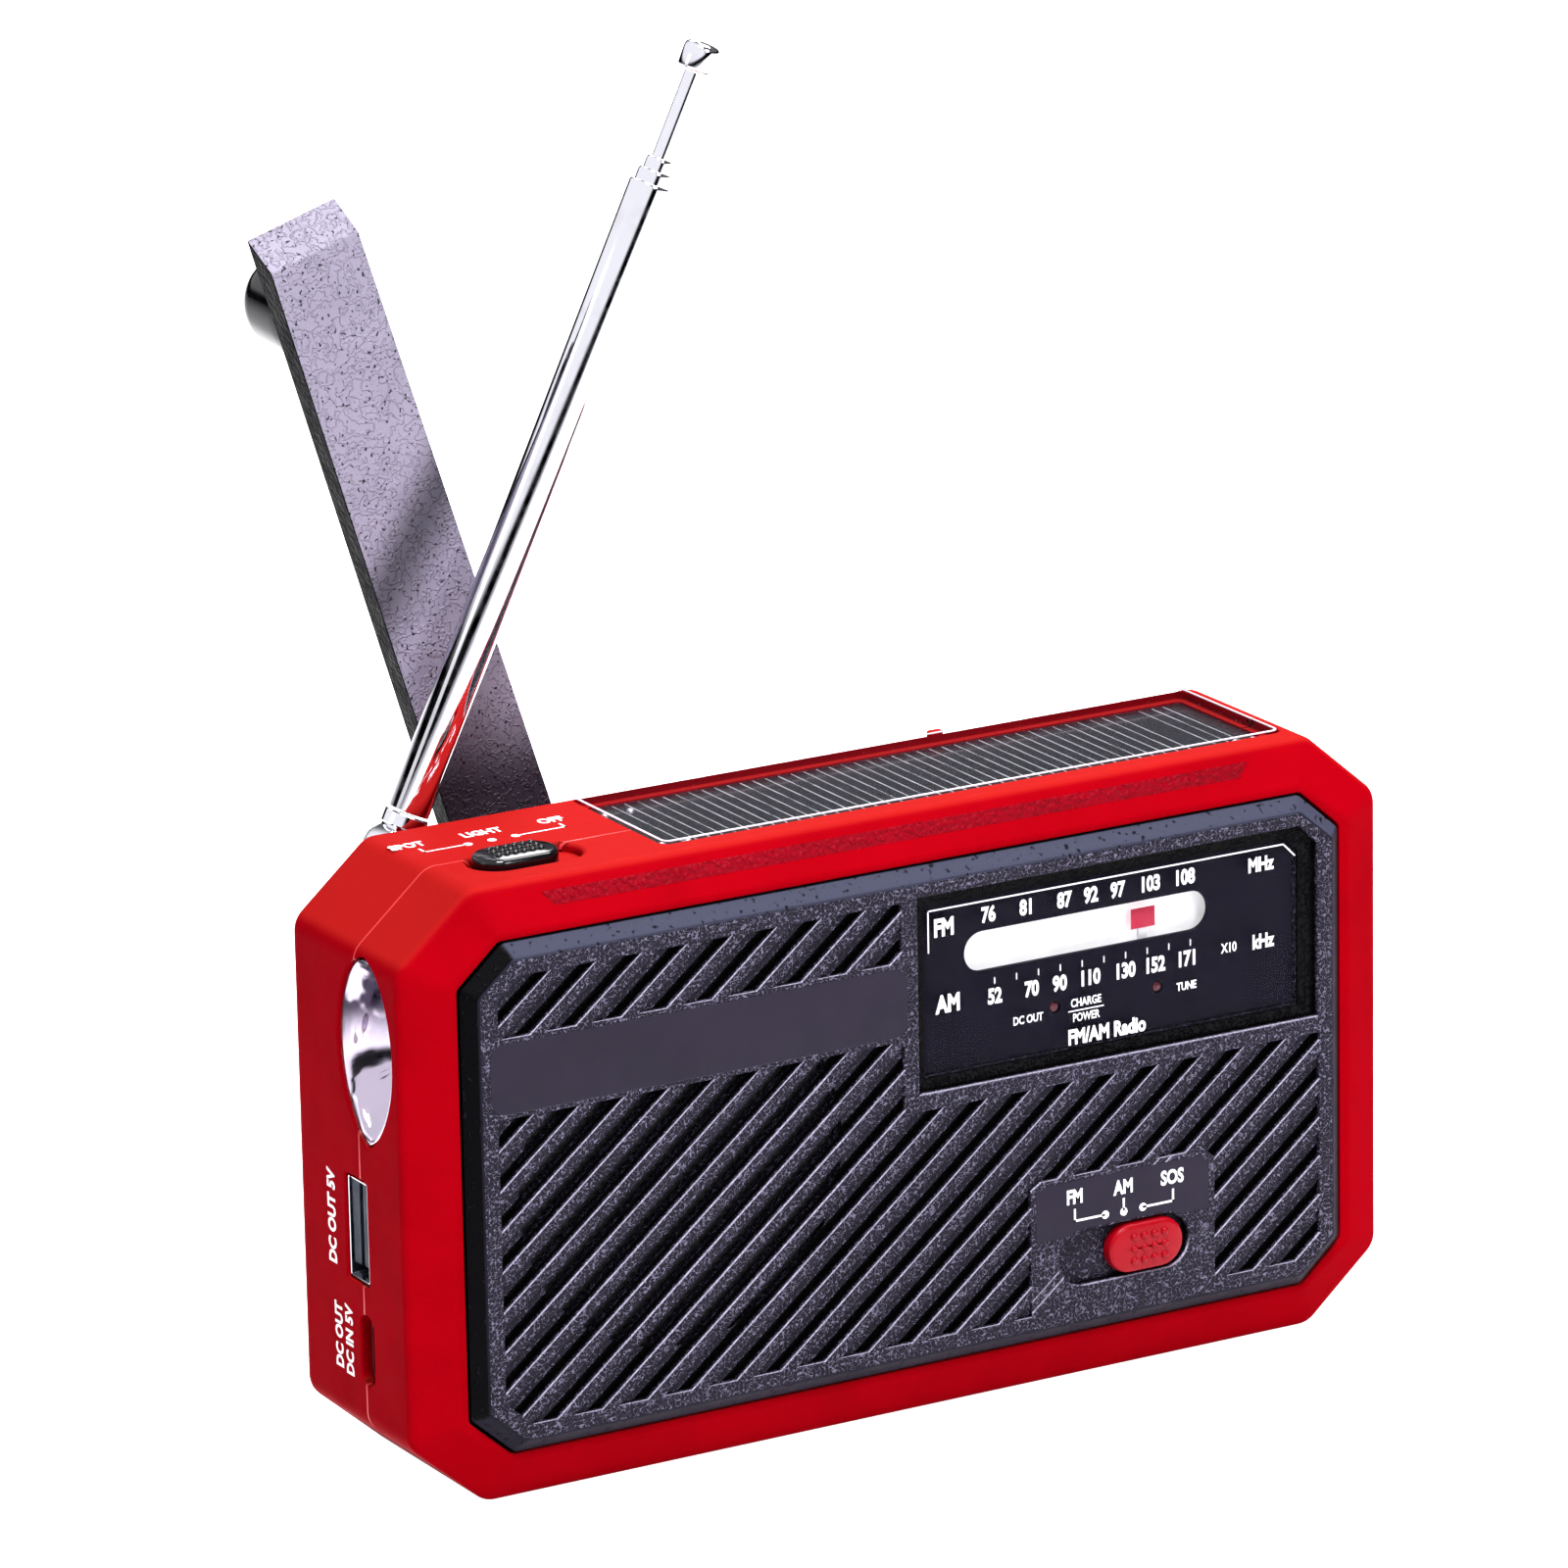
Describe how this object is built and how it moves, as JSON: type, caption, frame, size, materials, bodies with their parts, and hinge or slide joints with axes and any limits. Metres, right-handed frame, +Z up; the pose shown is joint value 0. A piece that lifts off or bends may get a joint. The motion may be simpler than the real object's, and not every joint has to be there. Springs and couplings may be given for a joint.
{
  "type": "emergency radio",
  "caption": "Hand-crank emergency radio: octagonal red case, ribbed dark front with dial and slide switch, solar top, torch, charging sockets, folding crank and telescopic antenna.",
  "frame": {"origin": "on the bottom face of the case, under the middle of its width, 16.5 mm behind the face of the front panel", "axes": "+Z up, the front panel faces -Y, +X to the viewer's right, so the torch and the sockets are on the -X side and the crank is behind"},
  "size_m": [0.1487, 0.0613, 0.1751],
  "materials": {
    "red_shell": "satin moulded ABS with a faint fine grain",
    "slate_panel": "leather-grained dark slate plastic",
    "smooth_label": "smooth satin plastic strip",
    "clear_plastic": "polished clear acrylic",
    "gloss_black": "polished black",
    "white_plastic": "plain white",
    "pointer_pink": "bright pointer colour",
    "led_resin": "tinted resin",
    "red_knob": "satin with raised dots",
    "switch_metal": "stamped metal",
    "speaker_cloth": "black woven dust cloth",
    "steel": "plated steel",
    "speaker_paper": "pressed dark paper cone",
    "ferrite": "dull dark ceramic",
    "solar_cells": "dark cells with fine silver lines",
    "chrome": "bright plating",
    "dark_insulator": "dark moulded insulator",
    "circuit_board": "green lacquered laminate",
    "wheel_black": "knurled satin black",
    "copper_wire": "enamelled copper",
    "battery_wrap": "shrink wrap",
    "nylon": "natural nylon",
    "brass": "turned",
    "crank_plastic": "fine-grained dark grey plastic"
  },
  "bodies": {
    "case": {"front_shell": "red_shell", "rear_shell": "red_shell", "front_grille": "slate_panel", "label_strip": "smooth_label", "dial_window": "clear_plastic", "dial_plate": "gloss_black", "scale_backing": "white_plastic", "charge_led": "led_resin", "tune_led": "led_resin", "mode_switch_body": "switch_metal", "light_switch_body": "switch_metal", "speaker_mesh": "speaker_cloth", "speaker_frame": "steel", "speaker_cone": "speaker_paper", "speaker_magnet": "ferrite", "solar_cover": "clear_plastic", "solar_panel": "solar_cells", "flashlight_lens": "clear_plastic", "flashlight_reflector": "chrome", "flashlight_led": "white_plastic", "usb_a_shell": "chrome", "usb_a_tongue": "dark_insulator", "usb_c_shell": "chrome", "port_board": "circuit_board", "main_board": "circuit_board", "tuning_capacitor": "white_plastic", "volume_pot": "switch_metal", "gearbox_plate": "steel", "generator_can": "steel", "ferrite_rod": "ferrite", "ferrite_coil": "copper_wire", "battery_tray": "dark_insulator", "battery_cell": "battery_wrap", "battery_spring": "steel", "case_screw_1": "steel", "case_screw_2": "steel", "case_screw_3": "steel", "case_screw_4": "steel", "step_shaft": "steel", "antenna_bolt": "steel"},
    "battery_door": {"battery_door": "red_shell"},
    "tuning_wheel": {"tuning_wheel": "wheel_black"},
    "tuning_pointer": {"tuning_pointer": "pointer_pink"},
    "volume_wheel": {"volume_wheel": "wheel_black"},
    "mode_switch": {"mode_switch_knob": "red_knob"},
    "light_switch": {"light_switch_knob": "gloss_black"},
    "crank_hub": {"crank_hub": "crank_plastic", "crank_hinge_pin": "steel", "drive_gear": "nylon"},
    "crank_arm": {"crank_arm": "crank_plastic", "crank_knob_post": "steel"},
    "crank_knob": {"crank_knob": "gloss_black"},
    "step_gear": {"step_gear": "nylon"},
    "generator_rotor": {"generator_pinion": "brass"},
    "antenna_mast": {"antenna_knuckle": "chrome", "antenna_tube_1": "chrome"},
    "antenna_section_2": {"antenna_tube_2": "chrome"},
    "antenna_section_3": {"antenna_tube_3": "chrome"},
    "antenna_tip": {"antenna_rod": "chrome", "antenna_cap": "chrome"}
  },
  "joints": [
    {"name": "crank_spin", "type": "hinge", "parent": "case", "child": "crank_hub", "pos_m": [-0.031, 0.02, 0.061], "axis": [0, 1, 0], "continuous": true},
    {"name": "crank_fold", "type": "hinge", "parent": "crank_hub", "child": "crank_arm", "pos_m": [-0.031, 0.0266, 0.061], "axis": [0.9545, 0, 0.2982], "range_deg": [-154, 0]},
    {"name": "crank_knob_spin", "type": "hinge", "parent": "crank_arm", "child": "crank_knob", "pos_m": [-0.05694, 0.036, 0.14404], "axis": [0, 1, 0], "continuous": true},
    {"name": "step_gear_spin", "type": "hinge", "parent": "case", "child": "step_gear", "pos_m": [-0.01489, 0.011, 0.0489], "axis": [0, 1, 0], "continuous": true},
    {"name": "generator_spin", "type": "hinge", "parent": "case", "child": "generator_rotor", "pos_m": [-0.00399, 0.011, 0.03439], "axis": [0, 1, 0], "continuous": true},
    {"name": "antenna_swing", "type": "hinge", "parent": "case", "child": "antenna_mast", "pos_m": [-0.0548, 0.0205, 0.0762], "axis": [0, 1, 0], "range_deg": [-90, 64]},
    {"name": "antenna_slide_2", "type": "slide", "parent": "antenna_mast", "child": "antenna_section_2", "axis": [0.4371, 0, 0.8994], "range_m": [0, 0.072]},
    {"name": "antenna_slide_3", "type": "slide", "parent": "antenna_section_2", "child": "antenna_section_3", "axis": [0.4371, 0, 0.8994], "range_m": [0, 0.07]},
    {"name": "antenna_slide_tip", "type": "slide", "parent": "antenna_section_3", "child": "antenna_tip", "axis": [0.4371, 0, 0.8994], "range_m": [-0.0112, 0.066]},
    {"name": "mode_switch_slide", "type": "slide", "parent": "case", "child": "mode_switch", "axis": [1, 0, 0], "range_m": [-0.0064, 0]},
    {"name": "light_switch_slide", "type": "slide", "parent": "case", "child": "light_switch", "axis": [1, 0, 0], "range_m": [0, 0.0029]},
    {"name": "tuning_spin", "type": "hinge", "parent": "case", "child": "tuning_wheel", "pos_m": [0.0608, 0.002, 0.05275], "axis": [0, 1, 0], "range_deg": [-235, 64]},
    {"name": "pointer_slide", "type": "slide", "parent": "case", "child": "tuning_pointer", "axis": [1, 0, 0], "range_m": [-0.0249, 0.0068]},
    {"name": "volume_spin", "type": "hinge", "parent": "case", "child": "volume_wheel", "pos_m": [0.0638, 0.002, 0.02445], "axis": [0, 1, 0], "range_deg": [-150, 150]},
    {"name": "battery_door_slide", "type": "slide", "parent": "case", "child": "battery_door", "axis": [1, 0, 0], "range_m": [0, 0.005]}
  ],
  "couplings": [
    {"joint": "step_gear_spin", "follows": "crank_spin", "ratio": -3},
    {"joint": "generator_spin", "follows": "crank_spin", "ratio": 10.5},
    {"joint": "pointer_slide", "follows": "tuning_spin", "m_per_rad": 0.00605}
  ]
}
